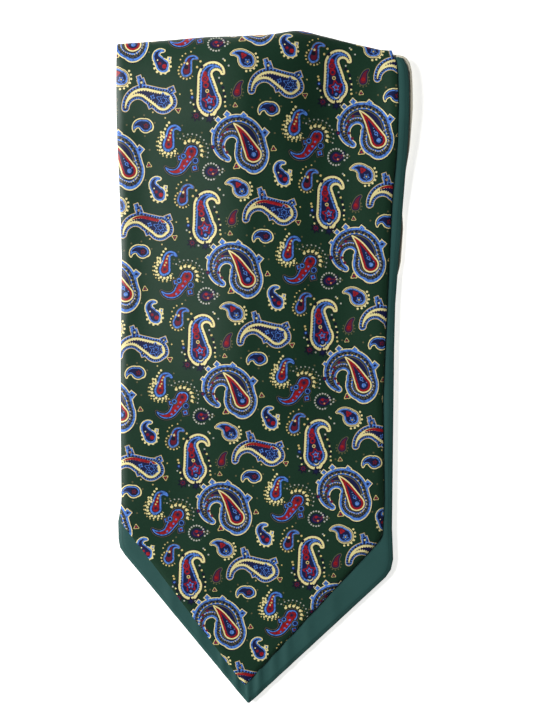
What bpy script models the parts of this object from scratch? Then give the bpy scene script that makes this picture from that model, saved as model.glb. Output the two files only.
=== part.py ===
"""A silk cravat, folded and laid flat with its printed front blade up.

Made in millimetres in the cravat's own frame: across is to the right of the blades' middle, up runs from the
back blade's point to the fold, and height is above the table. The finished solids are then turned into metres
and centred, so that the origin is the middle of the base, +Y points to the fold and +Z points up.

The plies lie on one height field, the top of the folded layers. A ply is a wall between two copies of that
field, moved out by set distances, so each one follows the rise over the folded neckband and the roll at the
fold.
"""

import math
from collections import namedtuple

import bmesh
import bpy
import numpy as np

MM = 0.001
MELT = 0.001  # points closer than this are one
SHARP_ANGLE = 40  # an edge that turns by more degrees than this is shaded sharp

# Cloth
WALL = 1.0  # a blade's shell, and its lining, as a wall
GAP = 0.3  # air between plies that lie on each other
PLY = WALL + GAP
EDGE_ROUND = 0.25  # how far a wall's edge bulges at half its thickness
LAYER_STEP = 1.0  # a covered ply ends this far inside the ply above it

# The folded layers under the back blade's lining
FLAT_STACK = 2.0  # height of the plies where only the back blade lies
FOLD_RISE = 3.5  # the folded-over plies add this at the fold
FOLD_RISE_FROM, FOLD_RISE_TO = 264.0, 336.0
LAYERS = 3  # plies that show at the stack's edges
GROOVE = 0.5  # depth of the groove between two of them
GROOVE_HALF = 0.09  # half of its width, as a share of the stack's height

# The roll at the fold
ROLL_DEPTH = 20.0  # how far the folded layers' roll reaches past its start
ROLL_STEP = 15  # degrees between two rings of the roll
LINING_END = 30  # degrees above level at which the lining ends on the roll
STRIP_END = 0  # the same for the interlining, which ends where the roll is furthest out
FRONT_END = -90  # and for the front blade, which goes all the way round
TUCK = 26.0  # the front blade runs on this far underneath
TUCK_ROWS = (8.0, TUCK)  # how far underneath its rows of points lie

# The interlining shows as a strip past the lining's right edge
STRIP_FROM = 105.0  # the strip's lower end
SINK_SHARE, SHELF_SHARE = 0.89, 0.91  # between these shares of its width the stack sinks to the strip's shelf
STRIP_SHARE = 0.93  # the strip starts at this share of the way from the stack's left edge to its own right

# Rows of points lie level up to a place on the blades, and follow the fold's line above it
ROW_SPACING = 11.0
LEVEL_TO = 300.0
BELOW_ROLL = (26.0, 17.0, 8.0, 0.0)  # how far below the roll the rows that follow the fold lie
SETTLE_ROUNDS = 8  # tries to find where a row that follows the fold meets an outline

# Columns of points. The plies that reach furthest right have closer ones there, where the fold's line drops.
FRONT_COLUMNS = 17
LINING_COLUMNS, LINING_RIGHT_COLUMNS = 13, 6
RIGHT_SHARE = 0.88
STRIP_COLUMNS = 6
STACK_COLUMNS, SHELF_COLUMNS = 14, 4

# Each outline runs from the point to the fold, one row for each place where its direction changes.
Edge = namedtuple("Edge", "up across")

FRONT_LEFT = (
    Edge(11.5, -10.8),
    Edge(105.0, -78.2),
    Edge(109.5, -79.0),
    Edge(120.0, -78.3),
    Edge(200.0, -77.8),
    Edge(254.0, -76.4),
    Edge(314.0, -77.3),
    Edge(380.0, -76.7),
)
FRONT_RIGHT = (
    Edge(11.5, -9.2),
    Edge(95.0, 65.6),
    Edge(98.5, 67.2),
    Edge(119.0, 68.0),
    Edge(175.0, 66.5),
    Edge(228.0, 68.3),
    Edge(280.0, 69.9),
    Edge(314.0, 72.3),
    Edge(334.0, 72.5),
    Edge(350.0, 72.0),
    Edge(357.0, 71.2),
    Edge(362.5, 69.2),
)
LINING_LEFT = (
    Edge(0.0, -8.6),
    Edge(86.5, -77.0),
    Edge(91.0, -79.8),
    Edge(96.0, -80.5),
    Edge(106.0, -80.5),
    Edge(122.0, -77.4),
    Edge(200.0, -76.9),
    Edge(254.0, -75.6),
    Edge(380.0, -76.0),
)
LINING_RIGHT = (
    Edge(0.0, -7.0),
    Edge(73.5, 69.5),
    Edge(78.0, 72.4),
    Edge(84.0, 73.6),
    Edge(102.0, 72.7),
    Edge(202.0, 72.6),
    Edge(228.0, 72.9),
    Edge(267.0, 75.4),
    Edge(318.0, 78.4),
    Edge(331.0, 78.6),
    Edge(346.0, 78.4),
    Edge(352.0, 78.0),
    Edge(356.0, 77.0),
    Edge(359.0, 74.8),
)
STRIP_RIGHT = (
    Edge(STRIP_FROM, 71.4),
    Edge(236.0, 72.4),
    Edge(251.0, 75.9),
    Edge(269.0, 76.9),
    Edge(284.0, 75.8),
    Edge(293.0, 76.6),
    Edge(312.0, 79.4),
    Edge(332.0, 80.7),
    Edge(346.0, 80.4),
    Edge(353.0, 79.9),
    Edge(357.0, 78.9),
    Edge(359.5, 77.2),
    Edge(361.0, 75.2),
)

# The fold as seen from above: how far up the front blade's roll reaches, from left to right
Fold = namedtuple("Fold", "across up")
FOLD_LINE = (
    Fold(-85.0, 366.1),
    Fold(-48.5, 368.2),
    Fold(-30.0, 369.5),
    Fold(-12.0, 369.9),
    Fold(6.0, 371.2),
    Fold(19.0, 373.2),
    Fold(33.0, 370.7),
    Fold(55.0, 365.8),
    Fold(67.0, 363.6),
    Fold(73.0, 363.8),
    Fold(77.0, 362.6),
    Fold(81.0, 359.4),
    Fold(86.0, 353.0),
)

# Broad lengthwise ridges (rise above 0) and troughs (below 0) in the height field. Each follows a line from its
# lower to its upper end, and falls away over a width of its own on the left and on the right. Both ends fade.
Ridge = namedtuple("Ridge", "low_across low_up top_across top_up left_side right_side rise fade")
RIDGES = (
    Ridge(-6.0, 165.0, -10.0, 420.0, 66.0, 56.0, 4.6, 52.0),  # the neckband folded underneath
    Ridge(-8.0, 316.0, -5.0, 410.0, 130.0, 76.0, 3.4, 30.0),  # its pleats, bunched by the fold
    Ridge(34.0, 290.0, 40.0, 352.0, 26.0, 30.0, -0.9, 52.0),  # the hollow beside it near the fold
    Ridge(-38.0, 60.0, -30.0, 178.0, 26.0, 34.0, 0.6, 52.0),  # the front blade's loose lower half
    Ridge(-74.0, 96.0, -76.0, 190.0, 24.0, 50.0, 1.7, 56.0),  # its left edge, a little lifted
)

Finish = namedtuple("Finish", "name colour roughness")
PRINTED_SILK = Finish("printed_silk", (0.021, 0.042, 0.030), 0.45)
LINING_SILK = Finish("lining_silk", (0.040, 0.120, 0.110), 0.5)
INTERLINING = Finish("interlining_cloth", (0.53, 0.49, 0.37), 0.9)
LAYERED_SILK = Finish("layered_silk", (0.018, 0.036, 0.026), 0.55)

# A ply's columns of points lie at shares of the way from a left outline to a right one
Ply = namedtuple("Ply", "left right shares")
# A row of points across a ply: how far up it crosses the middle line, and how much it follows the fold's
# line, from 0, level, to 1
Row = namedtuple("Row", "up lean")


def read(table, at):
    """The table's second column at the given values of its first."""
    rows = np.array(table)
    return np.interp(at, rows[:, 0], rows[:, 1])


def curve(table, at):
    """The same along a smooth curve through the rows: cubic pieces, each with its neighbours' slopes."""
    rows = np.array(table)
    places, values = rows[:, 0], rows[:, 1]
    slopes = np.gradient(values, places)
    k = np.clip(np.searchsorted(places, at, side="right") - 1, 0, len(places) - 2)
    span = places[k + 1] - places[k]
    t = np.clip((at - places[k]) / span, 0.0, 1.0)
    ease = t * t * (3.0 - 2.0 * t)
    leaving = t * (1.0 - t) ** 2 * span * slopes[k]
    arriving = t * t * (1.0 - t) * span * slopes[k + 1]
    return values[k] * (1.0 - ease) + values[k + 1] * ease + leaving - arriving


def eased(value, start, end):
    """0 before start, 1 past end, and a smooth S between them."""
    t = np.clip((value - start) / (end - start), 0.0, 1.0)
    return t * t * (3.0 - 2.0 * t)


def ridge_height(ridge, across, up):
    """A raised cosine across the ridge's line, faded at both of its ends."""
    along = np.clip((up - ridge.low_up) / (ridge.top_up - ridge.low_up), 0.0, 1.0)
    off = across - (ridge.low_across + along * (ridge.top_across - ridge.low_across))
    side = np.where(off < 0, ridge.left_side, ridge.right_side)
    profile = 0.5 + 0.5 * np.cos(np.pi * np.clip(off / side, -1.0, 1.0))
    half_fade = ridge.fade / 2
    starts = eased(up, ridge.low_up - half_fade, ridge.low_up + half_fade)
    stops = 1.0 - eased(up, ridge.top_up - half_fade, ridge.top_up + half_fade)
    return ridge.rise * profile * starts * stops


def crown(across, up):
    """Height of the folded layers' top."""
    height = FLAT_STACK + FOLD_RISE * eased(up, FOLD_RISE_FROM, FOLD_RISE_TO)
    for ridge in RIDGES:
        height = height + ridge_height(ridge, across, up)
    return height


def roll_start(across):
    """How far up the roll starts."""
    return curve(FOLD_LINE, across) - ROLL_DEPTH - 2 * PLY


def following(across, row):
    """How far up a row lies at a place across."""
    return row.up + row.lean * (roll_start(across) - roll_start(0.0))


def line(ply, row):
    """across and up of the points of one row, from the ply's left outline to its right one."""
    ends = []
    for outline in (ply.left, ply.right):
        end = read(outline, row.up)
        for _ in range(SETTLE_ROUNDS):
            end = read(outline, following(end, row))
        ends.append(end)
    across = ends[0] + ply.shares * (ends[1] - ends[0])
    return across, following(across, row)


def rows_below_roll(ply, level_extra=(), curved_extra=()):
    """The rows from the lowest place that both outlines reach to the start of the roll."""
    lowest = max(ply.left[0].up, ply.right[0].up)
    breaks = {edge.up for edge in (*ply.left, *ply.right) if lowest < edge.up < LEVEL_TO}
    marks = [lowest, *sorted(breaks), LEVEL_TO]
    levels = {lowest, *level_extra}
    for start, end in zip(marks, marks[1:]):
        steps = max(1, round((end - start) / ROW_SPACING))
        levels |= {start + (end - start) * (i + 1) / steps for i in range(steps)}
    below = sorted({*curved_extra, *BELOW_ROLL}, reverse=True)
    curved = [row_past_start(-distance) for distance in below]
    between = Row((LEVEL_TO + curved[0].up) / 2, 0.5)
    return [*(Row(up, 0.0) for up in sorted(levels)), between, *curved]


def row_past_start(distance):
    """The row that lies this far past the start of the roll."""
    return Row(float(roll_start(0.0)) + distance, 1.0)


def roll_angles(last):
    """Angles above level of the rings round the roll, from its top to the last, in radians."""
    return np.radians(np.arange(90 - ROLL_STEP, last - 1, -ROLL_STEP))


def ply_sheet(ply, out, last_angle, low=None):
    """One surface of a ply, moved out from the folded layers: rows below the roll, then rings round it.

    The roll's section is half an ellipse between the surface's height at the roll's start and low. Without
    low, its middle is that of the folded layers' roll.
    """
    low = PLY - out if low is None else low
    sheet = []
    for row in rows_below_roll(ply):
        across, up = line(ply, row)
        sheet.append(np.stack([across, up, crown(across, up) + out], axis=-1))
    for angle in roll_angles(last_angle):
        across, up = line(ply, row_past_start((ROLL_DEPTH + out) * math.cos(angle)))
        top = crown(across, roll_start(across)) + out
        height = (top + low) / 2 + (top - low) / 2 * math.sin(angle)
        sheet.append(np.stack([across, up, height], axis=-1))
    return sheet


def border_of(rows, columns):
    """The row and column of each point round a sheet's border, in order."""
    down = [(i, 0) for i in range(rows)]
    along = [(rows - 1, j) for j in range(1, columns)]
    back = [(i, columns - 1) for i in range(rows - 2, -1, -1)]
    home = [(0, j) for j in range(columns - 2, 0, -1)]
    return down + along + back + home


def way_out(sheet, i, j):
    """The direction in which a sheet ends at a point of its border."""
    rows, columns = sheet.shape[:2]
    inner_row = i if 0 < i < rows - 1 else min(max(i, 1), rows - 2)
    inner_column = min(max(j, 1), columns - 2)
    way = sheet[i, j] - sheet[inner_row, inner_column]
    return way / np.linalg.norm(way)


def closed_body(name, upper, lower, rim, finish, open_end=True):
    """One closed solid between two sheets of points with the same rows and columns.

    The rim joins their borders through rings, each at a share of the way down and moved outwards. With
    open_end False the sheets share their last row, and no ring is moved out there.
    """
    upper, lower = np.array(upper), np.array(lower)
    rows, columns = upper.shape[:2]
    border = border_of(rows, columns)
    points = [*upper.reshape(-1, 3), *lower.reshape(-1, 3)]
    rings = [[i * columns + j for i, j in border]]
    for share, outward in rim:
        rings.append(list(range(len(points), len(points) + len(border))))
        for i, j in border:
            moved = 0.0 if i == rows - 1 and not open_end else outward
            points.append(upper[i, j] * (1 - share) + lower[i, j] * share + way_out(upper, i, j) * moved)
    rings.append([rows * columns + i * columns + j for i, j in border])

    mesh = bmesh.new()
    corners = [mesh.verts.new(point) for point in points]
    for i in range(rows - 1):
        for j in range(columns - 1):
            a = i * columns + j
            quad = (a, a + 1, a + columns + 1, a + columns)
            mesh.faces.new([corners[k] for k in quad])
            mesh.faces.new([corners[k + rows * columns] for k in reversed(quad)])
    for one, other in zip(rings, rings[1:]):
        for k in range(len(border)):
            after = (k + 1) % len(border)
            mesh.faces.new([corners[v] for v in (one[k], one[after], other[after], other[k])])
    bmesh.ops.remove_doubles(mesh, verts=mesh.verts, dist=MELT)
    bmesh.ops.triangulate(mesh, faces=mesh.faces)
    bmesh.ops.recalc_face_normals(mesh, faces=mesh.faces)
    data = bpy.data.meshes.new(name)
    mesh.to_mesh(data)
    mesh.free()
    data.shade_smooth()
    data.set_sharp_from_angle(angle=math.radians(SHARP_ANGLE))
    data.materials.append(make_material(finish))
    body = bpy.data.objects.new(name, data)
    bpy.context.collection.objects.link(body)
    return body


def make_material(finish):
    material = bpy.data.materials.new(finish.name)
    material.use_nodes = True
    shader = material.node_tree.nodes["Principled BSDF"]
    shader.inputs["Base Color"].default_value = (*finish.colour, 1.0)
    shader.inputs["Roughness"].default_value = finish.roughness
    shader.inputs["Metallic"].default_value = 0.0
    return material


def wall_rim():
    """A wall's edge bulges once, half way down."""
    return [(0.5, EDGE_ROUND)]


def layered_rim():
    """The folded layers' edge has a groove between each layer and the next."""
    rim = []
    for i in range(1, LAYERS):
        share = i / LAYERS
        rim += [(share - GROOVE_HALF, 0.0), (share, -GROOVE), (share + GROOVE_HALF, 0.0)]
    return rim


def make_front_blade():
    """The printed front blade: a wall from its point, over the roll and a little way underneath."""
    ply = Ply(FRONT_LEFT, FRONT_RIGHT, np.linspace(0.0, 1.0, FRONT_COLUMNS))
    sheets = []
    for out, low in ((2 * PLY, 0.0), (2 * PLY - WALL, WALL)):
        sheet = ply_sheet(ply, out, FRONT_END, low)
        for distance in TUCK_ROWS:
            across, up = line(ply, row_past_start(-distance))
            sheet.append(np.stack([across, up, np.full_like(up, low)], axis=-1))
        sheets.append(sheet)
    return closed_body("front_blade", *sheets, wall_rim(), PRINTED_SILK)


def make_back_lining():
    """The back blade's lining, face up: it shows past the front blade at the right and round the point."""
    middle = np.linspace(0.0, RIGHT_SHARE, LINING_COLUMNS, endpoint=False)
    right = np.linspace(RIGHT_SHARE, 1.0, LINING_RIGHT_COLUMNS)
    ply = Ply(LINING_LEFT, LINING_RIGHT, np.concatenate([middle, right]))
    sheets = [ply_sheet(ply, out, LINING_END) for out in (PLY, GAP)]
    return closed_body("back_lining", *sheets, wall_rim(), LINING_SILK)


def stack_edge(edges, step):
    """An outline moved in by step, for a ply that ends inside the one above it."""
    first, *others = edges
    return (Edge(first.up + abs(step), first.across), *(Edge(e.up, e.across + step) for e in others))


def make_interlining(stack_left):
    """The strip of interlining along the right edge, between the lining and the folded layers' shelf."""
    ply = Ply(stack_left, STRIP_RIGHT, np.linspace(STRIP_SHARE, 1.0, STRIP_COLUMNS))
    sheets = [ply_sheet(ply, out, STRIP_END) for out in (0.0, -WALL)]
    return closed_body("interlining_edge", *sheets, wall_rim(), INTERLINING)


def make_folded_layers(stack_left, stack_right):
    """The hidden layers: the back blade's shell, face down, and the neckband folded onto it.

    One rounded solid with a flat underside, a shelf for the interlining along its right edge and a recess for
    the front blade's tucked end. Grooves round its edge part the plies.
    """
    middle = np.linspace(0.0, SINK_SHARE, STACK_COLUMNS)
    right = np.linspace(SHELF_SHARE, 1.0, SHELF_COLUMNS)
    ply = Ply(stack_left, stack_right, np.concatenate([middle, right]))
    shelf = np.where(ply.shares >= SHELF_SHARE, PLY, 0.0)
    shelf_rows = (STRIP_FROM - 2 * GAP, STRIP_FROM - GAP)
    tuck_end = TUCK + EDGE_ROUND + 2 * GAP
    recess_rows = (tuck_end + GAP, tuck_end)

    upper, lower = [], []
    for row in rows_below_roll(ply, shelf_rows, recess_rows):
        across, up = line(ply, row)
        sunk = np.where(up > np.mean(shelf_rows), shelf, 0.0)
        raised = np.where(roll_start(across) - up < np.mean(recess_rows), PLY, 0.0)
        upper.append(np.stack([across, up, crown(across, up) - sunk], axis=-1))
        lower.append(np.stack([across, up, raised], axis=-1))
    for angle in roll_angles(0):
        across, up = line(ply, row_past_start(ROLL_DEPTH * math.cos(angle)))
        up = up - shelf * math.cos(angle)
        top = crown(across, roll_start(across))
        middle, half = (top + PLY) / 2, (top - PLY) / 2
        upper.append(np.stack([across, up, middle + (half - shelf) * math.sin(angle)], axis=-1))
        lower.append(np.stack([across, up, middle - half * math.sin(angle)], axis=-1))
    return closed_body("folded_layers", upper, lower, layered_rim(), LAYERED_SILK, open_end=False)


def centre_on_base(bodies):
    """Turns millimetres into metres and puts the origin at the middle of the base."""
    corners = np.array([v.co for body in bodies for v in body.data.vertices])
    low, high = corners.min(axis=0), corners.max(axis=0)
    middle = ((low[0] + high[0]) / 2, (low[1] + high[1]) / 2, low[2])
    for body in bodies:
        for vertex in body.data.vertices:
            vertex.co = [(value - shift) * MM for value, shift in zip(vertex.co, middle)]


def main():
    for old in list(bpy.data.objects):
        bpy.data.objects.remove(old, do_unlink=True)
    stack_left = stack_edge(LINING_LEFT, LAYER_STEP)
    stack_right = stack_edge(LINING_RIGHT, -LAYER_STEP)
    centre_on_base(
        [
            make_front_blade(),
            make_back_lining(),
            make_interlining(stack_left),
            make_folded_layers(stack_left, stack_right),
        ]
    )


main()
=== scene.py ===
"""The looks of a silk cravat, folded and laid flat: printed blade, teal lining, interlining, folded plies.

Shapes are worked out in millimetres in the cravat's own frame: across is to the right of the blades' middle,
up runs from the back blade's point to the fold, and height is above the table.
"""

import math
from collections import namedtuple

import bmesh
import bpy
import numpy as np
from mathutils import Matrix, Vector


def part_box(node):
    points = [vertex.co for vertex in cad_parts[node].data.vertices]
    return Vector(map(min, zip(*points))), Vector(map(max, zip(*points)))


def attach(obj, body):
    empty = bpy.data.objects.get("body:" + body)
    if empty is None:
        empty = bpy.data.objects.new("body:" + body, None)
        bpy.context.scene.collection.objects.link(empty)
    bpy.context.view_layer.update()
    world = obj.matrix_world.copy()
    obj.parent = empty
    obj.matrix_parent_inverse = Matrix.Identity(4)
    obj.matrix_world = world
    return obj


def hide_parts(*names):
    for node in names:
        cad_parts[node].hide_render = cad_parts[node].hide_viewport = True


bl_info = {
    "name": "Folded silk cravat",
    "version": (1, 0, 0),
    "blender": (4, 5, 0),
    "location": "View3D > Sidebar > Cravat",
    "description": "Makes the cloth, the print and the stage of a folded silk cravat",
    "category": "Object",
}

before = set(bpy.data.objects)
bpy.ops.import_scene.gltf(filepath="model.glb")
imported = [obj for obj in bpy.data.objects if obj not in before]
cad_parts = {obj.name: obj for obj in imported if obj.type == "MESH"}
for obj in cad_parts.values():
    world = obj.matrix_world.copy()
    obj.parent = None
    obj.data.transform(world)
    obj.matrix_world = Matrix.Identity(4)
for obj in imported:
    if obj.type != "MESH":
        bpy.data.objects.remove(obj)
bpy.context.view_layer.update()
MM = 0.001

# Each outline runs from the point to the fold, one row for each place where its direction changes.
Edge = namedtuple("Edge", "up across")

FRONT_LEFT = (
    Edge(11.5, -10.8),
    Edge(105.0, -78.2),
    Edge(109.5, -79.0),
    Edge(120.0, -78.3),
    Edge(200.0, -77.8),
    Edge(254.0, -76.4),
    Edge(314.0, -77.3),
    Edge(380.0, -76.7),
)
FRONT_RIGHT = (
    Edge(11.5, -9.2),
    Edge(95.0, 65.6),
    Edge(98.5, 67.2),
    Edge(119.0, 68.0),
    Edge(175.0, 66.5),
    Edge(228.0, 68.3),
    Edge(280.0, 69.9),
    Edge(314.0, 72.3),
    Edge(334.0, 72.5),
    Edge(350.0, 72.0),
    Edge(357.0, 71.2),
    Edge(362.5, 69.2),
)
LINING_LEFT = (
    Edge(0.0, -8.6),
    Edge(86.5, -77.0),
    Edge(91.0, -79.8),
    Edge(96.0, -80.5),
    Edge(106.0, -80.5),
    Edge(122.0, -77.4),
    Edge(200.0, -76.9),
    Edge(254.0, -75.6),
    Edge(380.0, -76.0),
)
LINING_RIGHT = (
    Edge(0.0, -7.0),
    Edge(73.5, 69.5),
    Edge(78.0, 72.4),
    Edge(84.0, 73.6),
    Edge(102.0, 72.7),
    Edge(202.0, 72.6),
    Edge(228.0, 72.9),
    Edge(267.0, 75.4),
    Edge(318.0, 78.4),
    Edge(331.0, 78.6),
    Edge(346.0, 78.4),
    Edge(352.0, 78.0),
    Edge(356.0, 77.0),
    Edge(359.0, 74.8),
)
STRIP_RIGHT = (
    Edge(105.0, 71.4),
    Edge(236.0, 72.4),
    Edge(251.0, 75.9),
    Edge(269.0, 76.9),
    Edge(284.0, 75.8),
    Edge(293.0, 76.6),
    Edge(312.0, 79.4),
    Edge(332.0, 80.7),
    Edge(346.0, 80.4),
    Edge(353.0, 79.9),
    Edge(357.0, 78.9),
    Edge(359.5, 77.2),
    Edge(361.0, 75.2),
)

# The fold as seen from above: how far up the front blade's roll reaches, from left to right
Fold = namedtuple("Fold", "across up")
FOLD_LINE = (
    Fold(-85.0, 366.1),
    Fold(-48.5, 368.2),
    Fold(-30.0, 369.5),
    Fold(-12.0, 369.9),
    Fold(6.0, 371.2),
    Fold(19.0, 373.2),
    Fold(33.0, 370.7),
    Fold(55.0, 365.8),
    Fold(67.0, 363.6),
    Fold(73.0, 363.8),
    Fold(77.0, 362.6),
    Fold(81.0, 359.4),
    Fold(86.0, 353.0),
)

# Heights, as in the frame: the folded layers, then a gap and a wall for each ply on them
WALL = 1.0
GAP = 0.3
PLY = WALL + GAP
EDGE_ROUND = 0.25  # how far a wall's edge bulges
LAYER_STEP = 1.0  # a covered ply ends this far inside the one above it
LAYERS = 3  # plies that show at the folded layers' edges
FLAT_STACK = 2.0
FOLD_RISE = 3.5
FOLD_RISE_FROM, FOLD_RISE_TO = 264.0, 336.0
ROLL_DEPTH = 20.0  # how far the folded layers' roll reaches past its start
ROLL_STEP = 6  # degrees between two rings of the roll
LINING_END, STRIP_END, FRONT_END = 30, 0, -90  # degrees above level at which each ply ends on the roll
TUCK = 26.0  # the front blade runs on this far underneath
TUCK_ROWS = 8
LEVEL_TO = 300.0  # rows of points lie level up to here, and lean more and more to follow the fold above it
SETTLE_ROUNDS = 8  # tries to find where a row that follows the fold meets an outline
SINK_SHARE, SHELF_SHARE = 0.89, 0.91  # between these shares of its width the stack sinks to the strip
STRIP_SHARE = 0.93  # the strip starts at this share of the way from the stack's left edge to its own right
STRIP_FROM = 105.0
STRIP_COLUMNS = 9
EDGE_SOFT = 3.0  # how far in from its edges a turned ply sinks
FRONT_DROP, LINING_DROP = 0.7, 0.5  # how far the front blade and the lining sink there
FRONT_BULGE, LINING_BULGE, STRIP_BULGE, LAYER_BULGE = 0.3, 0.4, 0.25, 0.5  # how far each one's rim bulges
SEAM_IN, SEAM_HALF = 2.0, 0.3  # the lining's seam: how far in from the edge, and half its width
CUT_STEPS = 400  # widths that are measured along a ply's cut
MELT = 0.0000005  # points closer than this, in metres, are one

# The camera looks at a point of the table, and the light stands at another, in metres from the base's middle
LOOK_AT = (0.0024, 0.0130, 0.0)
SENSOR_HEIGHT = 24.0
WINDOW_FROM = (-1.15, 0.3, 0.8)
WINDOW_SIZE = 0.6
# The sky's strength fades from its setting to OVERHEAD as its direction's upward share goes from LOW_SKY to
# HIGH_SKY. On the left it is brighter and on the right darker, by SKY_SLANT, within SKY_SIDES.
LOW_SKY, HIGH_SKY, OVERHEAD = 0.3, 0.8, 0.75
SKY_SLANT, SKY_SIDES = 2.2, (0.4, 1.2)
FLOOR_SIZE, FLOOR_BELOW, FLOOR_GLOW = 2000.0, 0.2, 0.8

# Lengthwise ridges (rise above 0) and troughs (below 0). Each follows a line from its lower to its upper
# end, falls away over a width of its own on the left and on the right, and fades at both ends.
Ridge = namedtuple("Ridge", "low_across low_up top_across top_up left_side right_side rise fade")
NECKBAND = (
    Ridge(-6.0, 165.0, -10.0, 420.0, 66.0, 56.0, 4.6, 52.0),
    Ridge(-8.0, 316.0, -5.0, 410.0, 130.0, 76.0, 3.4, 30.0),
    Ridge(34.0, 290.0, 40.0, 352.0, 26.0, 30.0, -0.9, 52.0),
    Ridge(-38.0, 60.0, -30.0, 178.0, 26.0, 34.0, 0.6, 52.0),
)
# The creases that all plies share, uneven in length, depth and spacing
CREASES = (
    Ridge(-12.0, 186.0, -9.0, 410.0, 26.0, 11.0, 0.7, 40.0),
    Ridge(-42.0, 96.0, -46.0, 166.0, 22.0, 24.0, -0.6, 40.0),
    Ridge(-74.0, 96.0, -76.0, 190.0, 24.0, 50.0, 1.7, 56.0),
    Ridge(46.0, 190.0, 43.0, 300.0, 34.0, 20.0, -0.8, 60.0),
    Ridge(60.0, 316.0, 60.0, 410.0, 70.0, 16.0, -1.8, 26.0),
    Ridge(-66.0, 324.0, -66.0, 410.0, 60.0, 54.0, 1.2, 26.0),
    Ridge(50.0, 88.0, 58.0, 132.0, 30.0, 14.0, 0.5, 34.0),
    Ridge(8.0, 56.0, 14.0, 150.0, 22.0, 18.0, 0.3, 40.0),
    Ridge(-66.0, 190.0, -63.0, 330.0, 9.0, 14.0, -0.25, 50.0),
    Ridge(22.0, 196.0, 17.0, 262.0, 12.0, 12.0, 0.25, 30.0),
)
# The lining's own soft puckers where its point is turned and sewn
PUCKERS = (
    Ridge(-22.0, 12.0, -24.0, 40.0, 2.6, 3.4, 0.42, 14.0),
    Ridge(-14.5, 4.0, -15.0, 34.0, 3.2, 2.4, 0.5, 12.0),
    Ridge(-8.0, -2.0, -8.5, 26.0, 2.2, 3.0, 0.4, 10.0),
    Ridge(-1.5, 2.0, -2.0, 30.0, 3.4, 2.6, 0.55, 12.0),
    Ridge(6.5, 8.0, 6.0, 36.0, 2.6, 3.6, 0.36, 12.0),
    Ridge(15.0, 18.0, 14.0, 44.0, 4.0, 3.0, 0.44, 14.0),
    Ridge(27.0, 30.0, 25.0, 58.0, 4.4, 3.6, 0.3, 16.0),
    Ridge(-35.0, 30.0, -38.0, 60.0, 4.0, 4.6, 0.3, 16.0),
    Ridge(-50.0, 44.0, -53.0, 74.0, 4.6, 4.0, 0.26, 16.0),
    Ridge(41.0, 44.0, 39.0, 72.0, 4.2, 4.8, 0.26, 16.0),
    Ridge(69.5, 112.0, 69.8, 178.0, 1.6, 1.8, 0.16, 20.0),
    Ridge(70.8, 196.0, 72.0, 250.0, 1.4, 1.8, 0.18, 20.0),
    Ridge(74.6, 262.0, 75.0, 300.0, 1.6, 1.6, 0.16, 16.0),
    Ridge(74.6, 306.0, 75.4, 345.0, 1.8, 1.4, 0.2, 14.0),
)


def read(table, at):
    """The table's second column at the given values of its first, along straight lines."""
    rows = np.array(table)
    return np.interp(at, rows[:, 0], rows[:, 1])


def curve(table, at):
    """The same along a smooth curve through the rows: cubic pieces, each with its neighbours' slopes."""
    rows = np.array(table)
    places, values = rows[:, 0], rows[:, 1]
    slopes = np.gradient(values, places)
    k = np.clip(np.searchsorted(places, at, side="right") - 1, 0, len(places) - 2)
    span = places[k + 1] - places[k]
    t = np.clip((at - places[k]) / span, 0.0, 1.0)
    ease = t * t * (3.0 - 2.0 * t)
    leaving = t * (1.0 - t) ** 2 * span * slopes[k]
    arriving = t * t * (1.0 - t) * span * slopes[k + 1]
    return values[k] * (1.0 - ease) + values[k + 1] * ease + leaving - arriving


def eased(value, start, end):
    """0 before start, 1 past end, and a smooth S between them."""
    t = np.clip((value - start) / (end - start), 0.0, 1.0)
    return t * t * (3.0 - 2.0 * t)


def relief(ridges, across, up):
    """Height of the ridges together. Each is a raised cosine across its line, eased in and out along it."""
    height = 0.0 * (across + up)
    for ridge in ridges:
        along = np.clip((up - ridge.low_up) / (ridge.top_up - ridge.low_up), 0.0, 1.0)
        off = across - (ridge.low_across + along * (ridge.top_across - ridge.low_across))
        side = np.where(off < 0, ridge.left_side, ridge.right_side)
        profile = 0.5 + 0.5 * np.cos(np.pi * np.clip(off / side, -1.0, 1.0))
        half = ridge.fade / 2
        starts = eased(up, ridge.low_up - half, ridge.low_up + half)
        stops = 1.0 - eased(up, ridge.top_up - half, ridge.top_up + half)
        height = height + ridge.rise * profile * starts * stops
    return height


def crown(across, up):
    """Height of the folded layers' top: their plies, the rise to the fold, and the ridges."""
    rise = FOLD_RISE * eased(up, FOLD_RISE_FROM, FOLD_RISE_TO)
    return FLAT_STACK + rise + relief(NECKBAND + CREASES, across, up)


def roll_start(across):
    """How far up the roll starts."""
    return curve(FOLD_LINE, across) - ROLL_DEPTH - 2 * PLY


def outline_moved(edges, step):
    """An outline moved in by step, for a ply that ends inside the one above it."""
    first, *others = edges
    return (Edge(first.up + abs(step), first.across), *(Edge(e.up, e.across + step) for e in others))


# A ply's columns of points lie at shares of the way from a left outline to a right one.
Ply = namedtuple("Ply", "left right shares")
# One surface of a ply: its points, their places on the flat cloth, and how far in from its sides they lie
Sheet = namedtuple("Sheet", "points cloth edge")


def ply_of(left, right, columns, first=0.0):
    return Ply(left, right, np.linspace(first, 1.0, columns)[None, :])


def following(across, up, lean):
    """How far up a row lies at a place across: up on the middle line, and by its lean on the fold's line."""
    return up + lean * (roll_start(across) - roll_start(0.0))


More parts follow.
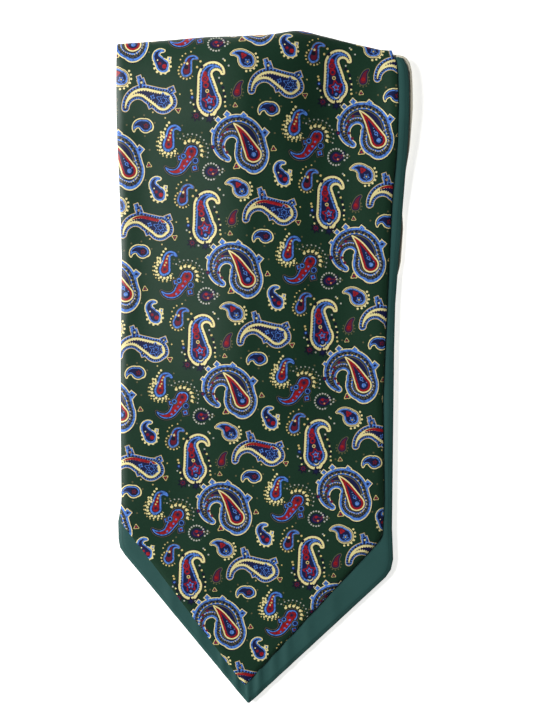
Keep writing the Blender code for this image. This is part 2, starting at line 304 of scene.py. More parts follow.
def lines(ply, up, lean):
    """across, up and distance from the side edges of the points of rows, from their up and lean.

    Each row runs straight between the places where it meets the outlines, and these are found by trying.
    """
    ends, slopes = [], []
    for outline in (ply.left, ply.right):
        end = read(outline, up)
        for _ in range(SETTLE_ROUNDS):
            end = read(outline, following(end, up, lean))
        place = following(end, up, lean)
        ends.append(end)
        slopes.append((read(outline, place + 1.0) - read(outline, place - 1.0)) / 2)
    across = ends[0] + ply.shares * (ends[1] - ends[0])
    from_left = (across - ends[0]) / np.hypot(1.0, slopes[0])
    from_right = (ends[1] - across) / np.hypot(1.0, slopes[1])
    return across, following(across, up, lean), np.minimum(from_left, from_right)


def rows_below_roll(ply, spacing):
    """up and lean of the rows from the ply's point to the roll, with one at each corner of its outlines."""
    lowest = max(ply.left[0].up, ply.right[0].up)
    marks = sorted({lowest, LEVEL_TO, *(e.up for e in (*ply.left, *ply.right) if lowest < e.up < LEVEL_TO)})
    levels = [[lowest]]
    for start, end in zip(marks, marks[1:]):
        steps = max(1, round((end - start) / spacing))
        levels.append(start + (end - start) * np.arange(1, steps + 1) / steps)
    levels = np.concatenate(levels)[:, None]
    rise = float(roll_start(0.0)) - LEVEL_TO
    lean = np.linspace(0.0, 1.0, round(rise / spacing) + 1)[1:, None]
    return np.concatenate([levels, LEVEL_TO + lean * rise]), np.concatenate([0.0 * levels, lean])


def roll_angles(last):
    """Angles above level of the rings round the roll, from its top to the last."""
    return np.radians(np.arange(90 - ROLL_STEP, last - 1, -ROLL_STEP))[:, None]


def ply_sheet(ply, spacing, out, last_angle, low=None, tuck=0.0, ridges=(), edge_drop=0.0):
    """One surface of a ply, out above the folded layers.

    Past the last of the rows it goes round the roll as part of an ellipse, through its height there and low,
    and then runs on level underneath for tuck. Without low the ellipse has the folded layers' own middle.
    edge_drop is how far the surface sinks towards its side edges.
    """
    low = PLY - out if low is None else low

    def sunk(edge):
        return edge_drop * np.clip(1.0 - edge / EDGE_SOFT, 0.0, 1.0) ** 2

    across, up, edge = lines(ply, *rows_below_roll(ply, spacing))
    height = crown(across, up) + out + relief(ridges, across, up) - sunk(edge)
    below = len(up) - 1
    parts = [(across, up, height, edge)]

    angles = roll_angles(last_angle)
    reach = (ROLL_DEPTH + out) * np.cos(angles)
    across, up, edge = lines(ply, roll_start(0.0) + reach, 1.0)
    top = crown(across, up - reach) + out + relief(ridges, across, up - reach) - sunk(edge)
    parts.append((across, up, (top + low) / 2 + (top - low) / 2 * np.sin(angles), edge))
    if tuck:
        run = tuck * np.linspace(0.0, 1.0, TUCK_ROWS + 1)[1:, None]
        across, up, edge = lines(ply, roll_start(0.0) - run, 1.0)
        parts.append((across, up, 0.0 * up + low, edge))
    across, up, height, edge = (np.concatenate(values) for values in zip(*parts))
    points = np.stack([across, up, height], axis=-1)
    steps = np.linalg.norm(np.diff(points[below:], axis=0), axis=-1)
    length = np.concatenate([up[: below + 1], up[below] + np.cumsum(steps, axis=0)])
    return Sheet(points, np.stack([across, length], axis=-1), edge)


def stack_sheets(ply, spacing):
    """The folded layers' upper and lower surface, which meet half way down the roll.

    The upper one has a shelf for the interlining along the right edge, the lower one a recess for the front
    blade's tucked end. The underside's cloth coordinates run on from the front blade's.
    """
    sink = PLY * eased(ply.shares, SINK_SHARE, SHELF_SHARE)
    across, up, edge = lines(ply, *rows_below_roll(ply, spacing))
    top = crown(across, up) - sink * eased(up, STRIP_FROM - 2 * GAP, STRIP_FROM)
    recess = PLY * eased(up - roll_start(across), -TUCK - 2.0, -TUCK - 1.0)

    angles = roll_angles(0)
    reach = ROLL_DEPTH * np.cos(angles)
    rolled, place, rolled_edge = lines(ply, roll_start(0.0) + reach, 1.0)
    full = crown(rolled, place - reach)
    middle, half = (full + PLY) / 2, (full - PLY) / 2
    across = np.concatenate([across, rolled])
    up = np.concatenate([up, place - sink * np.cos(angles)])
    edge = np.concatenate([edge, rolled_edge])
    height = np.concatenate([top, middle + (half - sink) * np.sin(angles)])
    below = np.concatenate([recess, middle - half * np.sin(angles)])
    beyond = 2.0 * (float(curve(FOLD_LINE, 0.0)) + ROLL_DEPTH) - up
    return [
        Sheet(np.stack([across, up, level], axis=-1), np.stack([across, length], axis=-1), edge)
        for level, length in ((height, up), (below, beyond))
    ]


def border_of(rows, columns):
    """The row and column of each point round a grid's border, in order."""
    down = np.stack([np.arange(rows), np.zeros(rows, int)], 1)
    along = np.stack([np.full(columns - 1, rows - 1), np.arange(1, columns)], 1)
    back = np.stack([np.arange(rows - 2, -1, -1), np.full(rows - 1, columns - 1)], 1)
    home = np.stack([np.zeros(columns - 2, int), np.arange(columns - 2, 0, -1)], 1)
    return np.concatenate([down, along, back, home])


def closed_cloth(name, upper, lower, rim, open_end=True):
    """One closed piece of cloth between two sheets with the same rows and columns.

    The rim joins their borders through rings, each at a share of the way down and moved outwards. Where
    open_end is False the sheets share their last row, and no ring is moved out there. The cloth's own
    coordinates run on over the rim, as if the cloth were turned down there.
    """
    rows, columns = upper.points.shape[:2]
    count = rows * columns
    border = border_of(rows, columns)
    i, j = border.T
    on_side = (i > 0) & (i < rows - 1)
    inner = (np.where(on_side, i, np.clip(i, 1, rows - 2)), np.clip(j, 1, columns - 2))
    way = upper.points[i, j] - upper.points[inner]
    way = way / np.linalg.norm(way, axis=1)[:, None]
    flat_way = upper.cloth[i, j] - upper.cloth[inner]
    flat_way = flat_way / np.linalg.norm(flat_way, axis=1)[:, None]
    drop = np.linalg.norm(upper.points[i, j] - lower.points[i, j], axis=1)[:, None]
    way[i == rows - 1] *= float(open_end)
    rings = [upper.points[i, j] * (1 - s) + lower.points[i, j] * s + way * outward for s, outward in rim]
    points = np.concatenate([upper.points.reshape(-1, 3), lower.points.reshape(-1, 3), *rings])
    ring_cloth = [upper.cloth[i, j] + flat_way * drop * s for s, _ in rim]
    cloth = np.concatenate([upper.cloth.reshape(-1, 2), lower.cloth.reshape(-1, 2), *ring_cloth])
    ring_edge = [upper.edge[i, j] for _ in rim]
    edge = np.concatenate([upper.edge.ravel(), lower.edge.ravel(), *ring_edge])

    first = (np.arange(rows - 1)[:, None] * columns + np.arange(columns - 1)[None, :]).ravel()
    top = np.stack([first, first + 1, first + columns + 1, first + columns], 1)
    chain = [i * columns + j]
    chain += [2 * count + k * len(border) + np.arange(len(border)) for k in range(len(rim))]
    chain += [count + i * columns + j]
    strips = [np.stack([a, np.roll(a, -1), np.roll(b, -1), b], 1) for a, b in zip(chain, chain[1:])]
    faces = np.concatenate([top, top[:, ::-1] + count, *strips])
    return cloth_object(name, points, faces, cloth, edge)


def cloth_object(name, points, faces, cloth=None, edge=None):
    """A mesh object in the part's frame. Its UV map holds the cloth coordinates, in metres.

    Its edge attribute holds how far in from the cloth's side edges a point lies.
    """
    mesh = bpy.data.meshes.new(name)
    mesh.vertices.add(len(points))
    mesh.vertices.foreach_set("co", ((points + ORIGIN) * MM).astype(np.float32).ravel())
    mesh.loops.add(faces.size)
    mesh.loops.foreach_set("vertex_index", faces.astype(np.int32).ravel())
    mesh.polygons.add(len(faces))
    mesh.polygons.foreach_set("loop_start", np.arange(0, faces.size, faces.shape[1], dtype=np.int32))
    if cloth is not None:
        layer = mesh.uv_layers.new(name="cloth")
        layer.data.foreach_set("uv", (cloth[faces.ravel()] * MM).astype(np.float32).ravel())
        distance = mesh.attributes.new("edge", "FLOAT", "POINT")
        distance.data.foreach_set("value", (edge * MM).astype(np.float32))
    mesh.update(calc_edges=True)
    solid = bmesh.new()
    solid.from_mesh(mesh)
    bmesh.ops.remove_doubles(solid, verts=solid.verts, dist=MELT)
    bmesh.ops.recalc_face_normals(solid, faces=solid.faces)
    solid.to_mesh(mesh)
    solid.free()
    mesh.shade_smooth()
    piece = bpy.data.objects.new(name, mesh)
    bpy.context.scene.collection.objects.link(piece)
    return piece


def round_rim(bulge, segments=6):
    """Rings that round a wall's edge as half an ellipse of the given bulge."""
    angles = np.pi * np.arange(1, segments) / segments
    return [((1 - math.cos(angle)) / 2, bulge * math.sin(angle)) for angle in angles]


def layered_rim(layers, bulge, steps=4):
    """Rings round a stack's edge: each layer bulges as half an ellipse, with a groove before the next."""
    rings = []
    for layer in range(layers):
        for k in range(1 if layer == 0 else 0, steps):
            angle = math.pi * k / steps
            rings.append(((layer + (1 - math.cos(angle)) / 2) / layers, bulge * (math.sin(angle) - 1.0)))
    return rings


# Where the cravat's own zero lies in the part's frame, from the lining's box there
lining_low, lining_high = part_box("back_lining")
ORIGIN = np.array(
    [
        lining_low[0] / MM - (min(edge.across for edge in LINING_LEFT) - EDGE_ROUND),
        lining_low[1] / MM - (LINING_LEFT[0].up - EDGE_ROUND),
        0.0,
    ]
)


class Socket:
    """A value in a material. Arithmetic on it adds Math nodes."""

    def __init__(self, board, socket):
        self.board, self.socket = board, socket

    def __add__(self, other):
        return self.board.math("ADD", self, other)

    def __sub__(self, other):
        return self.board.math("SUBTRACT", self, other)

    def __rsub__(self, other):
        return self.board.math("SUBTRACT", other, self)

    def __mul__(self, other):
        return self.board.math("MULTIPLY", self, other)

    def __truediv__(self, other):
        return self.board.math("DIVIDE", self, other)

    def __pow__(self, other):
        return self.board.math("POWER", self, other)

    def __lt__(self, other):
        return self.board.math("LESS_THAN", self, other)

    def __gt__(self, other):
        return self.board.math("GREATER_THAN", self, other)

    def __abs__(self):
        return self.board.math("ABSOLUTE", self)

    __radd__, __rmul__ = __add__, __mul__


class Board:
    """A material's, a node group's or a world's tree, built one node at a time."""

    def __init__(self, name, group=False, tree=None):
        if tree:
            self.tree = tree
        elif group:
            self.tree = bpy.data.node_groups.new(name, "ShaderNodeTree")
            self.entry = self.tree.nodes.new("NodeGroupInput")
            self.exit = self.tree.nodes.new("NodeGroupOutput")
        else:
            self.material = bpy.data.materials.new(name)
            self.material.use_nodes = True
            self.tree = self.material.node_tree
            self.shader = self.tree.nodes["Principled BSDF"]

    def take(self, name, kind):
        """A new input of the group."""
        self.tree.interface.new_socket(name=name, in_out="INPUT", socket_type=kind)
        return Socket(self, self.entry.outputs[name])

    def give(self, name, kind, value):
        """A new output of the group."""
        self.tree.interface.new_socket(name=name, in_out="OUTPUT", socket_type=kind)
        self.put(value, self.exit.inputs[name])

    def node(self, kind, inputs=(), output=0, **settings):
        """A node of that type: its settings first, then its sockets' values or links, by name or number."""
        made = self.tree.nodes.new(kind)
        for key, value in settings.items():
            if key == "stops":
                self.set_stops(made.color_ramp, value)
            else:
                setattr(made, key, value)
        for key, value in dict(inputs).items():
            self.put(value, made.inputs[key])
        return Socket(self, made.outputs[output])

    def set_stops(self, ramp, stops):
        ramp.interpolation = "CONSTANT"
        while len(ramp.elements) < len(stops):
            ramp.elements.new(1.0)
        for element, (place, colour) in zip(ramp.elements, stops):
            element.position, element.color = place, colour

    def put(self, value, target):
        if isinstance(value, Socket):
            self.tree.links.new(value.socket, target)
        else:
            target.default_value = value

    def math(self, operation, *values, clamp=False):
        return self.node("ShaderNodeMath", dict(enumerate(values)), operation=operation, use_clamp=clamp)

    def vector(self, operation, *values, output=0, **named):
        inputs = {**dict(enumerate(values)), **named}
        return self.node("ShaderNodeVectorMath", inputs, output, operation=operation)

    def dot(self, one, other):
        return self.vector("DOT_PRODUCT", one, other, output=1)

    def mix(self, factor, colour, over):
        """over laid on colour where factor is 1."""
        inputs = {0: factor, 6: colour, 7: over}
        return self.node("ShaderNodeMix", inputs, 2, data_type="RGBA")

    def mix_numbers(self, factor, value, over):
        """over in place of value where factor is 1."""
        return self.node("ShaderNodeMix", {0: factor, 2: value, 3: over}, data_type="FLOAT")

    def finish(self, **inputs):
        """Sets or links the shader's sockets and gives the material."""
        for name, value in inputs.items():
            self.put(value, self.shader.inputs[name.replace("_", " ")])
        return self.material


def rgb(red, green, blue):
    """A colour given as it shows on a screen, from 0 to 255, as the linear one that a shader takes."""
    shares = np.array([red, green, blue]) / 255.0
    linear = np.where(shares <= 0.04045, shares / 12.92, ((shares + 0.055) / 1.055) ** 2.4)
    return (*(float(value) for value in linear), 1.0)


CLEAR = (0.0, 0.0, 0.0, 0.0)

# The print repeats along two steps that are not quite square, as the cloth lies, from a middle of its own
STEP_RIGHT = (67.0, 8.1)
STEP_UP = (3.2, 66.4)
REPEAT_MIDDLE = (-34.6, 209.6)
STOP = 1 / 64  # the share of a colour ramp that lies outside its outermost band

# A paisley of the print. across and up give its head's middle in the repeat, and turn the way its body
# leaves the head, in degrees clockwise from straight up. The body runs straight, then curls to the right
# (curl 1) or left (curl -1) round a circle of radius bend, which tightens by that share for each radian. It
# is length long and narrows from the head's radius to the tail's with the power taper.
Paisley = namedtuple(
    "Paisley",
    "name across up turn curl head tail straight bend length taper bands tighten knobs marks",
    defaults=(0.0, (), ()),
)
# A band reaches in from depth, below 0 outside the outline, to where the next one starts
Band = namedtuple("Band", "depth colour")
# What lies on or round a paisley gives its place as right and up from the head's middle, on the cloth.
# A knob is a thorn of the outline.
Knob = namedtuple("Knob", "right up radius")
# A mark is round or has petals. Its colours run from the outside in, each from a share of the radius.
Mark = namedtuple("Mark", "right up radius colours petals", defaults=(0,))
# Dots of one size and colour
Dots = namedtuple("Dots", "colour radius places")
# Beads in a ring round the head's middle fill a share of it, round a middle that faces a number of degrees
# clockwise from straight up
Beads = namedtuple("Beads", "colour ring count radius facing fill", defaults=(0.0, 1.0))
# Teeth are a row of dots along the outline, at a depth inside it
Teeth = namedtuple("Teeth", "colour depth pitch radius")
# A streak lies along the outer side of the bend, at a depth inside it, in every other row of the repeat
Streak = namedtuple("Streak", "colour depth radius start end")

TRIANGLE = ((1.0, "gold"), (0.7, "navy"), (0.34, "red"))

PAISLEYS = (
    Paisley(
        "tall", across=0.4, up=-7.4, turn=-9.0, curl=1, head=6.7, tail=1.3, straight=12.6, bend=5.6,
        length=30.0, taper=1.16, tighten=0.1,
        bands=(
            Band(-0.5, "ink"), Band(0.0, "cream"), Band(1.35, "ink"), Band(1.6, "blue"), Band(2.6, "navy"),
        ),
        marks=(
            Teeth("navy", 1.5, 1.5, 0.4),
            Mark(0.2, 0.4, 3.4, ((1.0, "red"), (0.72, "navy"), (0.5, "blue"), (0.3, "red")), 5),
            Mark(-0.9, 5.2, 1.0, ((1.0, "gold"), (0.5, "ink"))),
            Mark(-1.6, 8.2, 1.6, ((1.0, "red"), (0.5, "navy"))),
            Mark(-2.0, 11.4, 1.9, ((1.0, "red"), (0.5, "navy"), (0.25, "red"))),
            Mark(-2.0, 14.2, 1.1, ((1.0, "red"),)),
            Mark(0.6, -3.9, 1.6, ((1.0, "cream"),)),
            Mark(0.4, -3.2, 1.7, ((1.0, "navy"), (0.45, "blue"))),
            Mark(-6.8, -7.4, 2.7, ((1.0, "ink"), (0.5, "maroon"), (0.3, "navy")), 7),
            Mark(0.4, -9.0, 2.2, ((1.0, "ink"), (0.5, "navy")), 6),
            Mark(-8.9, 2.0, 1.2, ((1.0, "navy"), (0.5, "blue"))),
            Dots(
                "ink", 0.9,
                ((-7.4, -3.0), (8.0, 3.6), (8.2, 0.6), (7.4, 6.8), (-3.6, 17.6), (-7.9, 0.2), (5.4, 10.0)),
            ),
            Dots(
                "gold", 0.6,
                ((-9.4, 5.6), (-9.0, 4.0), (-4.4, 20.6), (-6.2, 17.6), (8.6, -2.8), (6.6, 9.0)),
            ),
            Dots(
                "cream", 0.5,
                ((-8.2, -1.6), (-7.6, -5.0), (7.8, 5.2), (8.6, 2.2), (8.4, -0.6), (8.4, 20.8)),
            ),
            Dots(
                "pale", 0.48,
                ((10.4, 18.0), (7.6, 21.6), (-3.4, -8.8), (2.8, -8.9), (-9.8, -0.6), (5.4, 11.8)),
            ),
        ),
    ),
    Paisley(
        "great", across=22.8, up=-34.2, turn=-5.0, curl=-1, head=9.0, tail=1.6, straight=6.0, bend=8.6,
        length=42.0, taper=0.95,
        knobs=(
            Knob(-17.6, 17.2, 1.3), Knob(-12.9, 19.9, 1.5), Knob(-4.2, 19.1, 1.6), Knob(6.9, 10.7, 2.0),
            Knob(-20.6, 11.6, 1.1), Knob(-7.4, 1.6, 1.2), Knob(-12.6, 11.2, 1.3),
        ),
        bands=(
            Band(-0.8, "ink"), Band(-0.35, "cream"), Band(0.15, "blue"), Band(1.35, "ink"),
            Band(1.7, "olive"), Band(2.6, "ink"), Band(2.95, "blue"), Band(3.7, "ink"),
            Band(4.1, "olive"), Band(4.6, "navy"),
        ),
        marks=(
            Teeth("navy", 1.7, 2.3, 0.5),
            Teeth("ink", 2.3, 1.3, 0.42),
            Teeth("gold", 3.1, 1.9, 0.34),
            Dots("maroon", 0.8, ((-15.4, 9.6), (-16.0, 6.6), (-14.9, 3.4), (-13.2, 0.6), (-12.8, 12.2))),
            Mark(-8.6, 24.4, 1.3, TRIANGLE, 3),
            Mark(11.6, 2.6, 1.5, TRIANGLE, 3),
            Mark(-8.2, -6.6, 1.8, TRIANGLE, 3),
            Mark(-20.8, 3.4, 1.2, ((1.0, "navy"), (0.5, "maroon"))),
            Dots("olive", 0.5, ((-14.6, -3.4), (9.6, -5.2), (-11.2, 24.6), (0.4, 23.4), (12.2, 10.6))),
        ),
    ),
    Paisley(
        "drop", across=23.6, up=-34.4, turn=-28.0, curl=-1, head=4.5, tail=0.4, straight=9.0, bend=26.0,
        length=18.6, taper=0.82,
        bands=(Band(-0.4, "ink"), Band(0.0, "cream"), Band(0.75, "red"), Band(1.9, "navy")),
        marks=(
            Mark(0.2, -0.2, 1.2, ((1.0, "blue"), (0.5, "pale_blue"))),
            Mark(-1.2, 3.4, 1.0, ((1.0, "blue"), (0.5, "navy"))),
            Dots("pale_blue", 0.32, ((-2.6, 6.2), (-0.4, 2.2), (-2.2, 4.8), (1.6, 1.4))),
            Beads("pale", 5.6, 17, 0.36, 95.0, 0.4),
        ),
    ),
    Paisley(
        "wide", across=-24.0, up=-7.0, turn=-65.0, curl=-1, head=6.5, tail=1.9, straight=9.4, bend=8.2,
        length=25.6, taper=1.3,
        knobs=(Knob(-11.4, 9.8, 2.2), Knob(-12.6, 12.2, 1.4), Knob(4.6, 5.6, 2.0), Knob(-6.6, -1.8, 1.9)),
        bands=(
            Band(-0.6, "ink"), Band(-0.3, "gold"), Band(0.05, "blue"), Band(1.25, "ink"), Band(1.6, "cream"),
            Band(2.8, "navy"),
        ),
        marks=(
            Teeth("navy", 0.85, 1.35, 0.46),
            Teeth("cream", 2.9, 1.3, 0.32),
            Streak("red", 2.4, 0.8, -2.0, 16.0),
            Mark(0.3, 0.4, 3.6, ((1.0, "blue"), (0.86, "navy"), (0.5, "blue"), (0.36, "navy")), 6),
            Mark(-5.6, 2.2, 1.2, ((1.0, "blue"), (0.5, "navy")), 4),
            Mark(8.0, -4.8, 1.5, TRIANGLE, 3),
            Dots("gold", 0.4, ((9.0, 3.4), (1.0, -8.6), (-5.6, -5.6), (-20.2, -2.6))),
        ),
    ),
    Paisley(
        "leaning", across=-9.4, up=-33.0, turn=-147.0, curl=1, head=3.6, tail=0.5, straight=9.4, bend=5.4,
        length=20.0, taper=0.66,
        knobs=(Knob(-6.2, -3.0, 1.6), Knob(1.6, -8.4, 1.7)),
        bands=(
            Band(-0.9, "ink"), Band(-0.6, "olive"), Band(-0.3, "ink"), Band(0.35, "blue"), Band(0.95, "ink"),
            Band(1.2, "red"),
        ),
        marks=(
            Mark(-4.4, -2.2, 1.9, ((1.0, "olive"), (0.88, "ink"), (0.7, "blue"), (0.4, "navy"))),
            Mark(2.0, -4.6, 2.2, ((1.0, "olive"), (0.88, "ink"), (0.7, "blue"), (0.5, "navy"))),
            Mark(0.0, 0.2, 1.4, ((1.0, "maroon"), (0.5, "navy"))),
            Dots("blue", 0.55, ((-1.0, -2.6), (-2.4, -5.0), (-4.0, -7.4), (-6.0, -9.4), (-0.2, 2.6))),
            Beads("cream", 5.6, 15, 0.8, 36.0, 0.46),
            Beads("gold", 6.5, 15, 0.4, 42.0, 0.46),
            Beads("olive", 7.7, 20, 0.4, 36.0, 0.46),
            Beads("pale", 9.0, 24, 0.4, 34.0, 0.44),
            Dots("olive", 0.5, ((-4.4, 9.2), (5.8, 9.6), (-1.0, -12.8), (9.8, 3.6))),
        ),
    ),
    Paisley(
        "upright", across=-21.6, up=-29.2, turn=10.0, curl=1, head=3.2, tail=0.7, straight=6.6, bend=2.8,
        length=13.4, taper=0.95,
        bands=(Band(-0.3, "ink"), Band(0.0, "blue"), Band(1.0, "navy"), Band(1.4, "red")),
        marks=(
            Mark(0.0, 0.2, 1.1, ((1.0, "maroon"), (0.5, "navy"))),
            Dots("gold", 0.5, ((0.8, 3.8), (1.2, 5.8), (0.0, 2.4), (1.9, 7.4))),
            Beads("cream", 4.6, 15, 0.72, -128.0, 0.64),
            Beads("cream", 5.7, 15, 0.5, -120.0, 0.6),
            Beads("gold", 6.6, 19, 0.36, -132.0, 0.56),
            Dots(
                "cream", 0.62,
                ((-3.6, 4.4), (-2.6, 6.2), (-1.6, 8.0), (-0.6, 9.8), (-3.9, 6.4), (0.6, 11.2)),
            ),
            Dots("olive", 0.45, ((4.6, 3.2), (7.6, 9.6), (5.2, 5.4))),
        ),
    ),
    Paisley(
        "comma", across=-33.7, up=-19.4, turn=-66.0, curl=-1, head=3.9, tail=0.8, straight=2.0, bend=3.2,
        length=8.8, taper=0.9,
        bands=(
            Band(-0.25, "ink"), Band(0.0, "cream"), Band(0.6, "navy"), Band(1.0, "blue"), Band(1.6, "navy"),
        ),
        marks=(
            Mark(0.2, 0.0, 1.8, ((1.0, "ink"), (0.7, "maroon"), (0.3, "navy")), 5),
            Dots("olive", 0.5, ((-0.6, -5.2), (-0.6, 5.4), (5.0, 1.4), (-6.0, 4.4))),
        ),
    ),
    Paisley(
        "curled", across=-24.2, up=11.6, turn=-36.0, curl=1, head=3.5, tail=0.8, straight=4.6, bend=2.7,
        length=11.4, taper=1.05,
        knobs=(Knob(-4.4, 3.4, 0.7), Knob(3.6, 3.4, 0.8)),
        bands=(Band(-0.7, "ink"), Band(-0.45, "cream"), Band(0.1, "blue"), Band(0.95, "navy")),
        marks=(
            Mark(1.0, -0.6, 1.15, ((1.0, "red"),)),
            Mark(-1.4, 1.0, 0.9, ((1.0, "maroon"), (0.5, "red"))),
            Mark(-2.6, 2.8, 0.4, ((1.0, "cream"),)),
            Beads("cream", 4.5, 12, 0.62, 160.0, 0.72),
        ),
    ),
    Paisley(
        "tilted", across=-11.4, up=8.4, turn=12.0, curl=1, head=2.9, tail=0.7, straight=5.0, bend=2.7,
        length=10.6, taper=0.95,
        bands=(
            Band(-0.65, "ink"), Band(-0.4, "olive"), Band(0.0, "blue"), Band(0.8, "navy"),
            Band(1.3, "maroon"),
        ),
        marks=(
            Mark(0.0, 1.8, 1.1, ((1.0, "ink"),)),
            Mark(0.4, 3.8, 0.6, ((1.0, "cream"),)),
            Mark(1.2, 5.8, 0.6, ((1.0, "maroon"),)),
            Beads("gold", 4.3, 15, 0.48, -110.0, 0.66),
            Dots("gold", 0.42, ((-3.2, 6.0), (-2.2, 8.0), (-0.6, 9.2), (2.4, 10.2))),
        ),
    ),
    Paisley(
        "rounded", across=20.2, up=13.6, turn=-38.0, curl=-1, head=4.5, tail=0.7, straight=2.4, bend=5.0,
        length=9.4, taper=0.85,
        bands=(
            Band(-0.6, "ink"), Band(-0.35, "cream"), Band(0.05, "navy"), Band(0.3, "gold"),
            Band(0.65, "blue"), Band(1.5, "navy"),
        ),
        marks=(
            Mark(0.5, -1.0, 1.9, ((1.0, "navy"), (0.8, "blue"), (0.5, "navy"), (0.25, "gold")), 5),
            Mark(-1.6, 2.4, 1.5, ((1.0, "red"), (0.35, "maroon")), 3),
            Beads("cream", 5.9, 17, 0.6, 118.0, 0.42),
        ),
    ),
    Paisley(
        "small", across=15.2, up=-3.2, turn=12.0, curl=1, head=2.1, tail=0.5, straight=2.4, bend=5.0,
        length=6.2, taper=0.8,
        bands=(Band(-0.5, "olive"), Band(-0.1, "navy"), Band(0.5, "maroon")),
        marks=(
            Mark(0.0, 0.6, 1.0, ((1.0, "red"),)),
            Beads("olive", 3.3, 12, 0.4, 180.0, 0.8),
        ),
    ),
    Paisley(
        "bud", across=1.0, up=-43.4, turn=96.0, curl=-1, head=2.5, tail=0.7, straight=1.0, bend=2.6,
        length=5.0, taper=0.9,
        bands=(Band(-0.5, "ink"), Band(-0.1, "navy"), Band(0.8, "maroon"), Band(1.3, "navy")),
        marks=(
            Mark(0.0, 0.9, 0.8, ((1.0, "red"),)),
            Mark(1.0, -1.2, 0.7, ((1.0, "red"), (0.5, "gold"))),
            Beads("pale", 4.3, 18, 0.5, -60.0, 0.86),
            Dots("pale", 0.5, ((4.6, -1.6), (6.0, -0.4), (6.2, 1.2))),
            Dots("olive", 0.45, ((5.0, 0.6), (7.2, 0.4))),
        ),
    ),
)


def clamped(board, value, low, high):
    return board.node("ShaderNodeClamp", {"Value": value, "Min": low, "Max": high})


def hypotenuse(board, one, other):
    return board.vector("LENGTH", board.node("ShaderNodeCombineXYZ", {0: one, 1: other}), output=1)


def repeat_steps(across, up):
    """A place given in millimetres from the repeat's middle, in steps of the repeat."""
    (ax, ay), (bx, by) = STEP_RIGHT, STEP_UP
    across, up = across + REPEAT_MIDDLE[0], up + REPEAT_MIDDLE[1]
    size = ax * by - ay * bx
    return (by * across - bx * up) / size, (ax * up - ay * across) / size


def repeat_cell(board, cloth):
    """The place on the cloth in steps of the repeat."""
    (ax, ay), (bx, by) = STEP_RIGHT, STEP_UP
    size = (ax * by - ay * bx) * MM
    across = board.dot(cloth, (by / size, -bx / size, 0.0))
    up = board.dot(cloth, (-ay / size, ax / size, 0.0))
    return board.node("ShaderNodeCombineXYZ", {0: across, 1: up})


